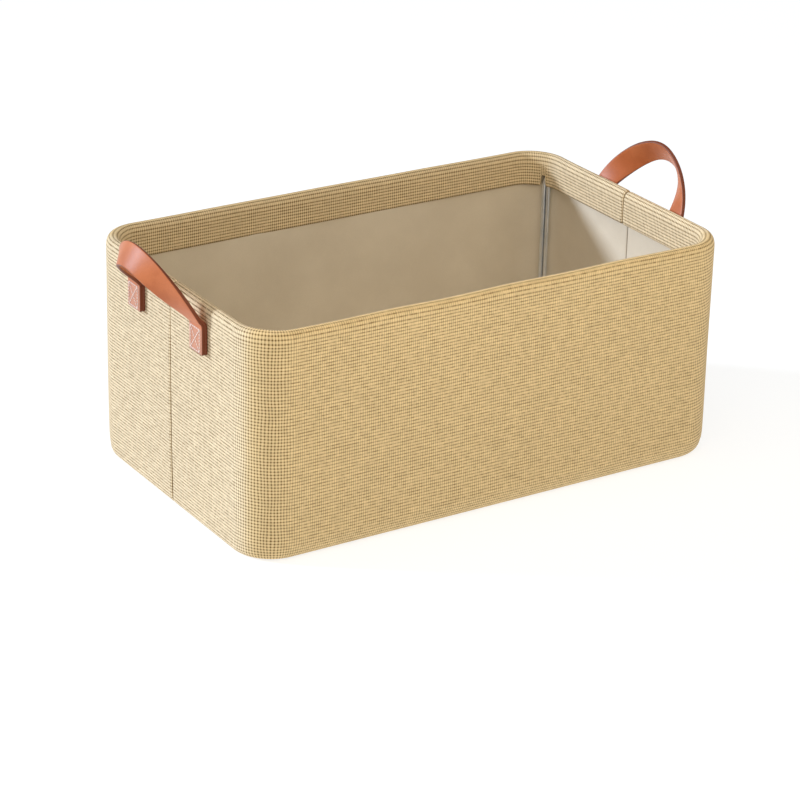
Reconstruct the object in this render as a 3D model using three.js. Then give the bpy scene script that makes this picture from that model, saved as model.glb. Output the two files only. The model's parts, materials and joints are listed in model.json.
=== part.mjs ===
// Fabric storage bin: a soft open box with a woven cover and a coated-cloth liner over
// board stiffeners, a fold-down steel frame inside each end and a strap handle on each end.
// Millimetres, +Z up. Origin at the middle of the underside, front wall towards -Y.
import * as THREE from "three";

const LENGTH = 470; // X, over the woven cover
const DEPTH = 280; // Y, over the woven cover
const HEIGHT = 200; // Z, floor to the top of the rim
const CORNER_R = 37; // upright corners, on the outer face
const FOOT_R = 8; // rounding between the walls and the underside
const GAP = 0.3; // air left between neighbouring pieces

const CLOTH = 1.2; // woven cover thickness
const RIM_T = 11.3; // rim thickness, cover folded over the wall
const RIM_RISE = 7; // height of the rim's rounded top
const LIP_Z = 190; // lower edge of the cover inside the rim
const BAND_LOW = 172; // lower edge of the inner woven band
const NOTCH = 10; // rise of the slit in the band where the rods pass

const BOARD_IN = 2.4; // wall board, from the outer face to its near side
const BOARD_T = 2.0;
const LINER_IN = 4.6; // liner, from the outer face to its near side
const LINER_T = 0.7;
const LINER_SEAM_Y = -1.5; // the liner's end seams stand a little to the front
const BASE_BOARD_Z = 1.5;
const BASE_BOARD_T = 3.0;
const FLOOR_Z = 4.8; // underside of the liner's floor

const ROD_R = 2.0; // steel rods of the end frames
const ROD_IN = 7.8; // rod centre, from the outer face of the end
const POST_Y = 119.7; // outer rod's posts, each side of the middle, in the corners
const INNER_POST_Y = 115.7; // inner rod's posts, right beside them
const FRAME_LOW = 8.7; // outer rod's bottom bar, the frame's fold axis
const INNER_LOW = 13.7; // inner rod's bottom bar
const FRAME_TOP = 186; // outer rod's top bar, behind the band
const INNER_TOP = 181.4; // inner rod's top bar
const FRAME_BEND = 12; // centre-line bend of both rods
const CLIP_R = 2.9; // crimped clips that hold the two bottom bars together
const CLIP_LENGTH = 7;
const CLIP_Y = 88;
const SLEEVE_LENGTH = 44; // cloth sleeves on the floor, round the outer rod's bottom bar
const SLEEVE_Y = 54;

const RIM_WIRE_R = 2.0;
const RIM_WIRE_Z = 195.2;

const STRAP_W = 21.5; // handle strap width
const STRAP_T = 3.5; // handle strap thickness
const STRAP_Y = 54; // each foot's centre, from the middle of the end
const FOOT_W = 22; // foot width, where the strap is folded double
const FOOT_T = 5.5;
const FOOT_LOW = 161.5;
const FOOT_TOP = 185;
const LOOP_RISE = 54.5; // strap centre line at the crown, above the feet
const LOOP_POINT = 1.38; // 1 for a half ellipse, more for a narrower crown
const LOOP_TURN = 56; // degrees the strap is turned about its own length at the crown
const LEAN_LEFT = 26; // degrees the loop leans outwards at rest
const LEAN_RIGHT = 23;

const COVER_COLOR = 0xcbb389;
const LINER_COLOR = 0xb5a189;
const BOARD_COLOR = 0x9a8462;
const STEEL_COLOR = 0xbfc3c7;
const STRAP_COLOR = 0xc06a42;
const THREAD_COLOR = 0xe0a48f;

const bin = new THREE.Group();
bin.name = "storage_bin";

function addPiece(name, geometry, color, roughness, metalness = 0) {
  const material = new THREE.MeshStandardMaterial({ color, roughness, metalness });
  const mesh = new THREE.Mesh(geometry, material);
  mesh.name = name;
  bin.add(mesh);
}

// Six times the volume enclosed by an indexed geometry, negative when it is inside out.
function signedVolume(geometry) {
  const p = geometry.getAttribute("position");
  const index = geometry.index.array;
  const corner = [0, 1, 2].map(() => new THREE.Vector3());
  let sum = 0;
  for (let i = 0; i < index.length; i += 3) {
    corner.forEach((v, k) => v.fromBufferAttribute(p, index[i + k]));
    sum += corner[0].dot(corner[1].cross(corner[2]));
  }
  return sum;
}

// One closed body through a row of matching rings of points. An open row is capped with
// `flat`, the ring drawn in its own plane. Without `flat` the row closes on itself.
function skin(rings, flat) {
  const n = rings[0].length;
  const joins = flat ? rings.length - 1 : rings.length;
  const index = [];
  for (let i = 0; i < joins; i++) {
    const a = i * n;
    const b = ((i + 1) % rings.length) * n;
    for (let j = 0; j < n; j++) {
      const k = (j + 1) % n;
      index.push(a + j, a + k, b + k, a + j, b + k, b + j);
    }
  }
  if (flat) {
    const last = (rings.length - 1) * n;
    const clockwise = THREE.ShapeUtils.isClockWise(flat);
    for (const [p, q, r] of THREE.ShapeUtils.triangulateShape(flat, [])) {
      const [s, t] = clockwise ? [r, q] : [q, r];
      index.push(p, t, s, last + p, last + s, last + t);
    }
  }
  const points = rings.flat();
  const geometry = new THREE.BufferGeometry().setFromPoints(points);
  geometry.setIndex(index);
  if (signedVolume(geometry) < 0) {
    geometry.setIndex(index.reverse());
  }
  geometry.computeVertexNormals();
  return geometry;
}

// Stations round half of the wall, left end to right end. side is -1 for the front half
// and 1 for the back; seamY is where the half starts and stops on both ends. Each station
// is a point on the outer face and the direction from it into the bin. atPost marks the
// corner station that stands outside the rods' posts.
function halfWall(side, seamY = 0, gap = GAP / 2) {
  const steps = 8;
  const cx = LENGTH / 2 - CORNER_R;
  const cy = DEPTH / 2 - CORNER_R;
  const start = side * seamY + gap;
  const quarter = [{ x: LENGTH / 2, y: start, nx: -1, ny: 0 }];
  for (let i = 0; i <= steps; i++) {
    const a = (i / steps) * (Math.PI / 2);
    quarter.push({
      x: cx + CORNER_R * Math.cos(a),
      y: cy + CORNER_R * Math.sin(a),
      nx: -Math.cos(a),
      ny: -Math.sin(a),
      atPost: i === 3,
    });
  }
  const left = quarter.map((s) => ({ ...s, x: -s.x, nx: -s.nx }));
  const row = [...left, ...quarter.reverse()];
  return row.map((s) => ({ ...s, y: side * s.y, ny: side * s.ny }));
}

// A body that follows the wall: profile gives its outline as [inset, z] at each station.
function wrap(stations, profile) {
  const rings = stations.map((s) =>
    profile(s).map(([d, z]) => new THREE.Vector3(s.x + s.nx * d, s.y + s.ny * d, z)),
  );
  const flat = profile(stations[0]).map(([d, z]) => new THREE.Vector2(d, z));
  return skin(rings, flat);
}

// Points of a quarter or half ellipse in the [inset, z] plane, from angle a0 to a1 in degrees.
function ellipse(cd, cz, rd, rz, a0, a1, steps) {
  const points = [];
  for (let i = 0; i <= steps; i++) {
    const a = THREE.MathUtils.degToRad(a0 + ((a1 - a0) * i) / steps);
    points.push([cd + rd * Math.cos(a), cz + rz * Math.sin(a)]);
  }
  return points;
}

// Cover wall in section: round the bottom edge, up, over the rim and down to the inner lip.
function coverProfile() {
  const mid = RIM_T / 2;
  const top = HEIGHT - RIM_RISE;
  return [
    ...ellipse(FOOT_R, FOOT_R, FOOT_R, FOOT_R, 270, 180, 5),
    ...ellipse(mid, top, mid, RIM_RISE, 180, 0, 10),
    [RIM_T, LIP_Z],
    [RIM_T - CLOTH, LIP_Z],
    ...ellipse(mid, top, mid - CLOTH, RIM_RISE - CLOTH, 0, 180, 10),
    ...ellipse(FOOT_R, FOOT_R, FOOT_R - CLOTH, FOOT_R - CLOTH, 180, 270, 5),
  ];
}

function slabProfile(inset, thickness, low, high) {
  return [
    [inset, low],
    [inset + thickness, low],
    [inset + thickness, high],
    [inset, high],
  ];
}

function addCover() {
  for (const [name, side] of [["front", -1], ["back", 1]]) {
    const shell = wrap(halfWall(side), coverProfile);
    addPiece(`cover_${name}_half`, shell, COVER_COLOR, 0.95);
    const band = wrap(halfWall(side), (s) =>
      slabProfile(RIM_T - CLOTH, CLOTH, BAND_LOW + (s.atPost ? NOTCH : 0), LIP_Z - GAP),
    );
    addPiece(`band_${name}_half`, band, COVER_COLOR, 0.95);
  }
  addPiece("cover_base", plate(FOOT_R + GAP, 0, CLOTH), COVER_COLOR, 0.95);
}

function roundedRectangle(width, height, r) {
  const shape = new THREE.Shape();
  const x = width / 2;
  const y = height / 2;
  shape.absarc(x - r, y - r, r, 0, Math.PI / 2);
  shape.absarc(r - x, y - r, r, Math.PI / 2, Math.PI);
  shape.absarc(r - x, r - y, r, Math.PI, 1.5 * Math.PI);
  shape.absarc(x - r, r - y, r, 1.5 * Math.PI, 2 * Math.PI);
  return shape;
}

function extrude(shape, depth, curveSegments = 6) {
  return new THREE.ExtrudeGeometry(shape, { depth, bevelEnabled: false, curveSegments });
}

// A level plate that follows the bin's outline at an inset.
function plate(inset, low, high) {
  const shape = roundedRectangle(
    LENGTH - 2 * inset,
    DEPTH - 2 * inset,
    CORNER_R - inset,
  );
  return extrude(shape, high - low, 8).translate(0, 0, low);
}

// Turns a flat extrusion upright: its X runs along the given wall, its Y goes up and its
// thickness goes towards +X on an end wall or towards -Y on a long wall.
function upright(geometry, onEnd) {
  const along = onEnd ? new THREE.Vector3(0, 1, 0) : new THREE.Vector3(1, 0, 0);
  const up = new THREE.Vector3(0, 0, 1);
  const out = along.clone().cross(up);
  return geometry.applyMatrix4(new THREE.Matrix4().makeBasis(along, up, out));
}

function addLiner() {
  for (const [name, side] of [["front", -1], ["back", 1]]) {
    const sheet = wrap(halfWall(side, LINER_SEAM_Y), () =>
      slabProfile(LINER_IN, LINER_T, FLOOR_Z + LINER_T + GAP, LIP_Z - 1),
    );
    addPiece(`liner_${name}_half`, sheet, LINER_COLOR, 0.6);
  }
  addPiece("liner_floor", plate(LINER_IN, FLOOR_Z, FLOOR_Z + LINER_T), LINER_COLOR, 0.6);
}

// Stiff boards between cover and liner: one in each long wall, two in each end wall with
// the fold between them, and one under the floor. None reaches round a corner.
function addBoards() {
  const low = FOOT_R + 1;
  const high = LIP_Z - 1;
  const middle = (low + high) / 2;
  const longWidth = LENGTH - 2 * CORNER_R - 4;
  for (const [name, side] of [["front", -1], ["back", 1]]) {
    const board = extrude(roundedRectangle(longWidth, high - low, 3), BOARD_T, 3);
    const outer = side * (DEPTH / 2 - BOARD_IN);
    upright(board, false).translate(0, outer + (side > 0 ? 0 : BOARD_T), middle);
    addPiece(`board_${name}`, board, BOARD_COLOR, 0.9);
  }
  const endWidth = DEPTH / 2 - CORNER_R - 4;
  for (const [end, sx] of [["left", -1], ["right", 1]]) {
    for (const [name, side] of [["front", -1], ["back", 1]]) {
      const board = extrude(roundedRectangle(endWidth, high - low, 3), BOARD_T, 3);
      const outer = sx * (LENGTH / 2 - BOARD_IN);
      const x = outer - (sx > 0 ? BOARD_T : 0);
      upright(board, true).translate(x, side * (endWidth / 2 + 1.5), middle);
      addPiece(`board_${end}_${name}`, board, BOARD_COLOR, 0.9);
    }
  }
  const base = plate(FOOT_R + 0.5, BASE_BOARD_Z, BASE_BOARD_Z + BASE_BOARD_T);
  addPiece("base_board", base, BOARD_COLOR, 0.9);
}

// A straight tube along Y, centred on the given point.
function tubeAlongY(outer, inner, length, x, y, z) {
  const shape = new THREE.Shape().absarc(0, 0, outer, 0, 2 * Math.PI);
  shape.holes.push(new THREE.Path().absarc(0, 0, inner, 0, 2 * Math.PI, true));
  const tube = extrude(shape, length, 16).rotateX(-Math.PI / 2);
  return tube.translate(x, y - length / 2, z);
}

// Wire hoop inside the rim, in two halves that meet in a crimped sleeve on each end.
function addRimWire() {
  const inset = RIM_T / 2;
  const circle = () =>
    ellipse(inset, RIM_WIRE_Z, RIM_WIRE_R, RIM_WIRE_R, 0, 324, 9);
  addPiece("rim_wire_front", wrap(halfWall(-1, 0, 0.5), circle), STEEL_COLOR, 0.3, 1);
  addPiece("rim_wire_back", wrap(halfWall(1, 0, 0.5), circle), STEEL_COLOR, 0.3, 1);
  for (const [end, sx] of [["left", -1], ["right", 1]]) {
    const x = sx * (LENGTH / 2 - inset);
    const ferrule = tubeAlongY(3.0, 2.15, 24, x, 0, RIM_WIRE_Z);
    addPiece(`rim_ferrule_${end}`, ferrule, STEEL_COLOR, 0.4, 1);
  }
}

// Distance from the bin's middle to the line that follows the end wall at the rods' inset,
// y off the centre line. It turns in with the corner.
function wallX(y) {
  const past = Math.max(0, Math.abs(y) - (DEPTH / 2 - CORNER_R));
  const r = CORNER_R - ROD_IN;
  return LENGTH / 2 - CORNER_R + Math.sqrt(r * r - past * past);
}

// Centre line of a rod: posts in the corners, a straight bottom bar between their feet and
// a top bar that is bent out to follow the end wall behind the band.
function rodPath(postY, low, high) {
  const y = postY - FRAME_BEND;
  const steps = 5;
  const corners = [
    [y, high - FRAME_BEND, 0],
    [-y, high - FRAME_BEND, 90],
    [-y, low + FRAME_BEND, 180],
    [y, low + FRAME_BEND, 270],
  ];
  const path = [];
  for (const [cy, cz, from] of corners) {
    for (let i = 0; i <= steps; i++) {
      const a = THREE.MathUtils.degToRad(from + (90 * i) / steps);
      path.push([cy + FRAME_BEND * Math.cos(a), cz + FRAME_BEND * Math.sin(a)]);
    }
    if (from === 0) {
      const flat = DEPTH / 2 - CORNER_R;
      path.push([Math.min(flat, y - 2), high], [-Math.min(flat, y - 2), high]);
    }
  }
  const postX = wallX(postY);
  return path.map(([py, pz]) => {
    const bent = THREE.MathUtils.smoothstep(pz, 150, 180);
    return new THREE.Vector3(postX + (wallX(py) - postX) * bent, py, pz);
  });
}

// A closed round rod along a path that never runs towards X.
function rodLoop(path, sx) {
  const rings = path.map((p, i) => {
    const before = path[(i + path.length - 1) % path.length];
    const after = path[(i + 1) % path.length];
    const along = after.clone().sub(before).normalize();
    const u = new THREE.Vector3(1, 0, 0).addScaledVector(along, -along.x).normalize();
    const v = along.clone().cross(u);
    return Array.from({ length: 12 }, (_, k) => {
      const b = (k / 12) * 2 * Math.PI;
      const q = p.clone().addScaledVector(u, ROD_R * Math.cos(b));
      q.addScaledVector(v, ROD_R * Math.sin(b));
      return new THREE.Vector3(sx * q.x, q.y, q.z);
    });
  });
  return skin(rings);
}

// Clip round both bottom bars, seen along Y: the outline that wraps two circles, with a
// hole for each rod.
function addClip(name, x, dx, dz, y) {
  const shape = new THREE.Shape();
  const turn = Math.atan2(-dz, dx);
  shape.absarc(0, 0, CLIP_R, turn + Math.PI / 2, turn + 1.5 * Math.PI);
  shape.absarc(dx, -dz, CLIP_R, turn - Math.PI / 2, turn + Math.PI / 2);
  for (const [hx, hz] of [[0, 0], [dx, -dz]]) {
    const hole = ROD_R + 0.12;
    shape.holes.push(new THREE.Path().absarc(hx, hz, hole, 0, 2 * Math.PI, true));
  }
  const clip = extrude(shape, CLIP_LENGTH, 10).rotateX(-Math.PI / 2);
  addPiece(name, clip.translate(x, y - CLIP_LENGTH / 2, FRAME_LOW), STEEL_COLOR, 0.4, 1);
}

// Fold-down steel frame of one end: two rods side by side with clips round their bottom
// bars, and the two cloth sleeves on the floor that the outer rod's bottom bar turns in.
function addEndFrame(end, sx) {
  const outer = rodPath(POST_Y, FRAME_LOW, FRAME_TOP);
  const inner = rodPath(INNER_POST_Y, INNER_LOW, INNER_TOP);
  addPiece(`${end}_frame_outer_rod`, rodLoop(outer, sx), STEEL_COLOR, 0.2, 1);
  addPiece(`${end}_frame_inner_rod`, rodLoop(inner, sx), STEEL_COLOR, 0.2, 1);
  const x = sx * wallX(POST_Y);
  const dx = sx * (wallX(INNER_POST_Y) - wallX(POST_Y));
  for (const [name, side] of [["front", -1], ["back", 1]]) {
    addClip(`${end}_frame_clip_${name}`, x, dx, INNER_LOW - FRAME_LOW, side * CLIP_Y);
    const sleeve = tubeAlongY(2.45, 2.1, SLEEVE_LENGTH, x, side * SLEEVE_Y, FRAME_LOW);
    addPiece(`${end}_floor_sleeve_${name}`, sleeve, LINER_COLOR, 0.7);
  }
}

// Stations along the strap between its feet. Flat against the wall at both feet, it turns
// about its own length so that its outer face looks partly up at the crown.
function strapStations(steps) {
  const half = STRAP_W / 2;
  const path = (t) => {
    const a = Math.PI * t;
    const rise = Math.pow(Math.sin(a), LOOP_POINT);
    return new THREE.Vector2(STRAP_Y * Math.cos(a), LOOP_RISE * rise);
  };
  const stations = [];
  for (let i = 0; i <= steps; i++) {
    const t = i / steps;
    const at = path(t);
    const tangent = path(Math.min(t + 1e-3, 1)).sub(path(Math.max(t - 1e-3, 0)));
    tangent.normalize();
    const outwards = new THREE.Vector2(tangent.y, -tangent.x);
    const s = 1 - Math.abs(2 * t - 1);
    const turn = THREE.MathUtils.degToRad(LOOP_TURN);
    const twist = turn * THREE.MathUtils.smoothstep(s, 0, 0.85);
    const reach = half * Math.sin(twist) + (STRAP_T / 2) * Math.cos(twist);
    stations.push({ at, outwards, twist, proud: STRAP_T + GAP - reach });
  }
  return stations;
}

// The loop of one handle, leaning outwards about the top edge of its feet.
function strapLoop(sx, lean) {
  const w = STRAP_W / 2;
  const t = STRAP_T / 2;
  const c = 0.8;
  const flat = [
    [-w + c, -t], [w - c, -t], [w, -t + c], [w, t - c],
    [w - c, t], [-w + c, t], [-w, t - c], [-w, -t + c],
  ].map(([a, b]) => new THREE.Vector2(a, b));
  const a = THREE.MathUtils.degToRad(lean);
  const hinge = LENGTH / 2 + FOOT_T + 2 * GAP;
  const rings = strapStations(44).map((s) =>
    flat.map((p) => {
      const inPlane = p.x * Math.cos(s.twist) + p.y * Math.sin(s.twist);
      const inwards = s.proud + p.x * Math.sin(s.twist) - p.y * Math.cos(s.twist);
      const y = s.at.x + s.outwards.x * inPlane;
      const up = GAP + s.at.y + s.outwards.y * inPlane;
      const out = up * Math.sin(a) - inwards * Math.cos(a);
      const rise = up * Math.cos(a) + inwards * Math.sin(a);
      return new THREE.Vector3(sx * (hinge + out), y, FOOT_TOP + rise);
    }),
  );
  return skin(rings, flat);
}

// A square of thread with a cross in it, drawn as one outline with four openings.
function boxStitch(width, height, thread) {
  const shape = roundedRectangle(width, height, 0.4);
  const x = width / 2 - thread;
  const y = height / 2 - thread;
  const dx = thread * 0.75;
  const dy = (dx * y) / x;
  const windows = [
    [[-x + dx, -y], [x - dx, -y], [0, -dy]],
    [[x, -y + dy], [x, y - dy], [dx, 0]],
    [[x - dx, y], [-x + dx, y], [0, dy]],
    [[-x, y - dy], [-x, -y + dy], [-dx, 0]],
  ];
  for (const corners of windows) {
    const points = corners.map(([px, py]) => new THREE.Vector2(px, py));
    shape.holes.push(new THREE.Path(points));
  }
  return shape;
}

// Strap handle of one end: the loop, two folded feet sewn to the outside of the cover, their
// thread and the cloth patches behind the cover that spread the pull.
function addHandle(end, sx, lean) {
  addPiece(`${end}_handle_strap`, strapLoop(sx, lean), STRAP_COLOR, 0.55);
  const wall = LENGTH / 2;
  const height = FOOT_TOP - FOOT_LOW;
  const middle = (FOOT_TOP + FOOT_LOW) / 2;
  const onEnd = (shape, depth, inner, y, z) => {
    const outer = sx > 0 ? inner : -inner - depth;
    return upright(extrude(shape, depth, 4), true).translate(outer, y, z);
  };
  for (const [name, side] of [["front", -1], ["back", 1]]) {
    const y = side * STRAP_Y;
    const foot = roundedRectangle(FOOT_W, height, 2);
    const footBody = onEnd(foot, FOOT_T, wall + GAP, y, middle);
    addPiece(`${end}_handle_foot_${name}`, footBody, STRAP_COLOR, 0.55);
    const stitch = boxStitch(FOOT_W - 6, height - 5, 0.9);
    const thread = onEnd(stitch, 0.4, wall + GAP + FOOT_T + 0.1, y, middle - 1);
    addPiece(`${end}_handle_stitch_${name}`, thread, THREAD_COLOR, 0.8);
    const patch = roundedRectangle(FOOT_W + 8, height + 4, 2);
    const patchBody = onEnd(patch, 0.7, wall - BOARD_IN + 0.2, y, middle);
    addPiece(`${end}_handle_patch_${name}`, patchBody, LINER_COLOR, 0.9);
  }
}

addCover();
addLiner();
addBoards();
addRimWire();
addEndFrame("left", -1);
addEndFrame("right", 1);
addHandle("left", -1, LEAN_LEFT);
addHandle("right", 1, LEAN_RIGHT);

export default bin;
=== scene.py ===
import json
import math

import bmesh
import bpy
import numpy as np
from mathutils import Matrix, Vector


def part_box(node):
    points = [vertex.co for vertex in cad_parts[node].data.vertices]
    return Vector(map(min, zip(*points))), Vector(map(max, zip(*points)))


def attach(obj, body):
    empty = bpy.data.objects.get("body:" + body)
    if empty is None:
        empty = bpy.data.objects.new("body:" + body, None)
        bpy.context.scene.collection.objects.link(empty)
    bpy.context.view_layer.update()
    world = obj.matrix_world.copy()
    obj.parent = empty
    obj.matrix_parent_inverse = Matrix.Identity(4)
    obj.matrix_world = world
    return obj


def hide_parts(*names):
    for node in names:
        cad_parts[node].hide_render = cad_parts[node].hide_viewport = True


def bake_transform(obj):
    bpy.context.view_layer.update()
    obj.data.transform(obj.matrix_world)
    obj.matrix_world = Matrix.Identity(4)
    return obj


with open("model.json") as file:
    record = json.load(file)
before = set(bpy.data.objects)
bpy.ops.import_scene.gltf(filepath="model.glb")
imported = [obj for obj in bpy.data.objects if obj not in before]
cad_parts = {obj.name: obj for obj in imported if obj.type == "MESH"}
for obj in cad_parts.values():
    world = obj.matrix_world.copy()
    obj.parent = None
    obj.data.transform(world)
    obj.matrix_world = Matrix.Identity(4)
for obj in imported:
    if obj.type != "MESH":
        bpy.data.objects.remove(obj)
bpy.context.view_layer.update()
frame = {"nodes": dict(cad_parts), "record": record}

# ---------------------------------------------------------------------------
# Sizes, in metres. The outline comes from the CAD cover, the rest repeats its sections.
# ---------------------------------------------------------------------------
cover_lo, cover_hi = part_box("cover_front_half")
HALF_L = cover_hi.x
HALF_D = -cover_lo.y
HEIGHT = cover_hi.z
BAND_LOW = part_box("band_front_half")[0].z
GAP = 0.0003             # between pieces that lie on each other
CORNER_R = 0.037         # upright corners, on the outer face
FOOT_R = 0.008           # rounding between the walls and the underside

RIM_T = 0.0113           # the rim's roll, from the cover's outside to the band's inside
RIM_RISE = 0.0075        # its height above the upright wall
RIM_BOW = 0.0022         # how much fuller the soft roll stands on top
RIM_RIPPLE = 0.0004
RIM_FULLNESS = 0.86      # 1 for a half ellipse, less for a fuller roll
CLOTH = 0.0012           # thickness of the woven cloth
LONG_PUFF = 0.0050       # how far the soft long walls stand outside their boards
END_PUFF = 0.0007        # and the end walls
RIPPLE = 0.00035
COVER_TUCK, COVER_TUCK_W = 0.0011, 0.0013      # depth and half width of the cover's seams
SEAM_LINE, SEAM_LINE_W = 0.85, 0.0006          # darkness and half width of the line in a seam
BAND_OPEN, BAND_PAINTED_LIGHT = 0.55, 0.6               # the band's weave, as shares of corner and end; the end share gives the band part of the end walls' paler colour, which is painted light
NOTCH = 0.0100           # rise of the slit in the band where a rod comes out
COURSE = 0.00282         # one rib of the weave, up the wall
WARP_FLAT = 0.00202      # yarn spacing along the flat walls
WARP_CORNER = 0.0026     # and round the corners, where the cloth is drawn open

LINER_IN = 0.0046        # the liner's back, from the outer face
LINER_T = 0.0006
LINER_TOP = HEIGHT - 0.0115
LINER_SLACK = 0.0016     # how far the liner stands off the long boards
LINER_TUCK, LINER_TUCK_W = 0.0005, 0.0012
SEAM_Y = -0.0015         # the liner's seams stand a little in front of the cover's
FLOOR_SLACK = 0.0005

ROD_R = 0.0020
ROD_IN = 0.0078          # rod centre, from the outer face
ROD_BEND = 0.012
ROD_TURN_LOW, ROD_TURN_RISE = 0.150, 0.030      # where a post starts to follow the wall's corner
SLEEVE_IN, SLEEVE_OUT = 0.0021, 0.0025          # radii of the cloth round a bottom bar
SLEEVE_REACH = 0.0105    # from the bar's centre to the edge of the sewn flap

STRAP_W, STRAP_T = 0.0215, 0.0035
STRAP_EDGE_R = 0.0011
FOOT_W, FOOT_T = 0.0220, 0.0055      # at the feet, where the strap is folded double
FOOT_LOW, FOOT_TOP = 0.1615, 0.185
FOOT_FOLD = 0.0005       # depth of the groove between the two layers of a foot
STRAP_Y, LOOP_RISE = 0.054, 0.0545
LOOP_POINT = 1.38        # 1 for a half ellipse, more for a narrower crown
LOOP_TURN = 56           # degrees the strap is turned about its own length at the crown
LEAN = {"left": 26.0, "right": 23.0}
THREAD_R = 0.00052
STITCH, STITCH_GAP = 0.0023, 0.0005

ENDS = (("left", -1), ("right", 1))      # name and sign of x
HALVES = (("front", -1), ("back", 1))    # name and sign of y


# ---------------------------------------------------------------------------
# Mesh helpers
# ---------------------------------------------------------------------------
def smooth(t):
    """Eased step, 0 below 0 and 1 above 1."""
    t = min(max(t, 0.0), 1.0)
    return t * t * (3 - 2 * t)


def bell(distance, width):
    return math.exp(-(distance / width) ** 2)


def new_object(name, verts, faces, uvs=None):
    mesh = bpy.data.meshes.new(name)
    mesh.from_pydata([tuple(v) for v in verts], [], faces)
    mesh.update()
    if uvs is not None:
        layer = mesh.uv_layers.new(name="weave")
        layer.data.foreach_set("uv", np.asarray(uvs, np.float32).ravel())
    mesh.polygons.foreach_set("use_smooth", [True] * len(mesh.polygons))
    mesh.update()
    obj = bpy.data.objects.new(name, mesh)
    bpy.context.scene.collection.objects.link(obj)
    return obj


def add_attribute(obj, name, values):
    layer = obj.data.attributes.new(name, "FLOAT", "POINT")
    layer.data.foreach_set("value", np.asarray(values, np.float32).ravel())


def grid_object(name, points, u=None, v=None, closed_rows=False, caps=False):
    """A tube through the closed rings points[i], with u along it and v round it.
    closed_rows joins the last ring to the first. caps closes both ends with strips from one
    face of the sheet or side of the tube to the other."""
    points = np.asarray(points, float)
    nu, nv = points.shape[:2]
    index = np.arange(nu * nv).reshape(nu, nv).tolist()
    u = np.arange(nu + 1, dtype=float) if u is None else u
    v = np.arange(nv + 1, dtype=float) if v is None else v
    faces, uvs = [], []
    for i in range(nu if closed_rows else nu - 1):
        k = (i + 1) % nu
        for j in range(nv):
            m = (j + 1) % nv
            faces.append((index[i][j], index[k][j], index[k][m], index[i][m]))
            uvs += [(u[i], v[j]), (u[i + 1], v[j]), (u[i + 1], v[j + 1]), (u[i], v[j + 1])]
    if caps:
        for row in (0, nu - 1):
            for j in range(nv // 2 - 1):
                face = (index[row][j], index[row][j + 1], index[row][nv - 2 - j], index[row][nv - 1 - j])
                faces.append(face if row else face[::-1])
                uvs += [(u[row], v[j])] * 4
    return new_object(name, points.reshape(-1, 3), faces, uvs)


def tube_faces(rings, n, first=0):
    """Sides and both ends of a tube of rings of n points, counted from point first."""
    faces = []
    for i in range(rings - 1):
        low, high = first + i * n, first + (i + 1) * n
        faces += [(low + j, low + (j + 1) % n, high + (j + 1) % n, high + j) for j in range(n)]
    last = first + (rings - 1) * n
    return faces + [tuple(range(first, first + n))[::-1], tuple(range(last, last + n))]


def outward(obj):
    """Turns the faces of a closed mesh so that they all look out."""
    bm = bmesh.new()
    bm.from_mesh(obj.data)
    bmesh.ops.recalc_face_normals(bm, faces=bm.faces)
    bm.to_mesh(obj.data)
    bm.free()
    return obj


def turns(count):
    return [2 * math.pi * k / count for k in range(count)]


# ---------------------------------------------------------------------------
# The outline of the bin
# ---------------------------------------------------------------------------
STRAIGHT_L = 2 * (HALF_L - CORNER_R)
STRAIGHT_D = HALF_D - CORNER_R
ARC = CORNER_R * math.pi / 2
HALF_RUN = 2 * STRAIGHT_D + 2 * ARC + STRAIGHT_L      # round half of the wall, seam to seam
SEAM_STEPS = [0, 0.0004, 0.0008, 0.0012, 0.0018, 0.0027, 0.004, 0.006, 0.009]


def half_positions(step_flat=0.006, corner_steps=20, extra=()):
    """Distances along half of the wall, from the seam of the left end to that of the right,
    closer together beside the seams and round the corners."""
    end = list(np.arange(SEAM_STEPS[-1] + step_flat, STRAIGHT_D - step_flat / 2, step_flat))
    first = SEAM_STEPS + end + [STRAIGHT_D + ARC * i / corner_steps for i in range(corner_steps + 1)]
    count = int(round(STRAIGHT_L / step_flat))
    middle = [STRAIGHT_D + ARC + STRAIGHT_L * i / count for i in range(1, count)]
    last = [HALF_RUN - s for s in reversed(first)]
    return np.array(sorted(set(np.round(first + middle + last + list(extra), 6))))


def from_seam(s):
    return min(s, HALF_RUN - s)


def outline(s, side, seam_y=0.0):
    """Point, inward direction and share of a corner (0 flat, 1 in its middle) at distance s
    along half of the wall. side is -1 for the front half and 1 for the back."""
    mirror = s > HALF_RUN / 2
    t = HALF_RUN - s if mirror else s
    cx, cy = HALF_L - CORNER_R, HALF_D - CORNER_R
    corner = 0.0
    if t <= STRAIGHT_D:
        x, y = -HALF_L, t + side * seam_y * (1 - t / STRAIGHT_D)
        nx, ny = 1.0, 0.0
    elif t <= STRAIGHT_D + ARC:
        a = (t - STRAIGHT_D) / CORNER_R
        x, y = -cx - CORNER_R * math.cos(a), cy + CORNER_R * math.sin(a)
        nx, ny = math.cos(a), -math.sin(a)
        corner = math.sin(2 * a)
    else:
        x, y = -cx + (t - STRAIGHT_D - ARC), HALF_D
        nx, ny = 0.0, -1.0
    if mirror:
        x, nx = -x, -nx
    return x, side * y, nx, side * ny, corner


def wave(s, z, seed, scale):
    """A slow repeatable ripple of about unit size."""
    g = np.random.default_rng(seed)
    total = 0.0
    for _ in range(7):
        fx, fz = g.uniform(-1, 1, 2) / scale
        total = total + math.sin(2 * math.pi * (fx * s + fz * z) + g.uniform(0, 6.28))
    return total / 3.5


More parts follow.
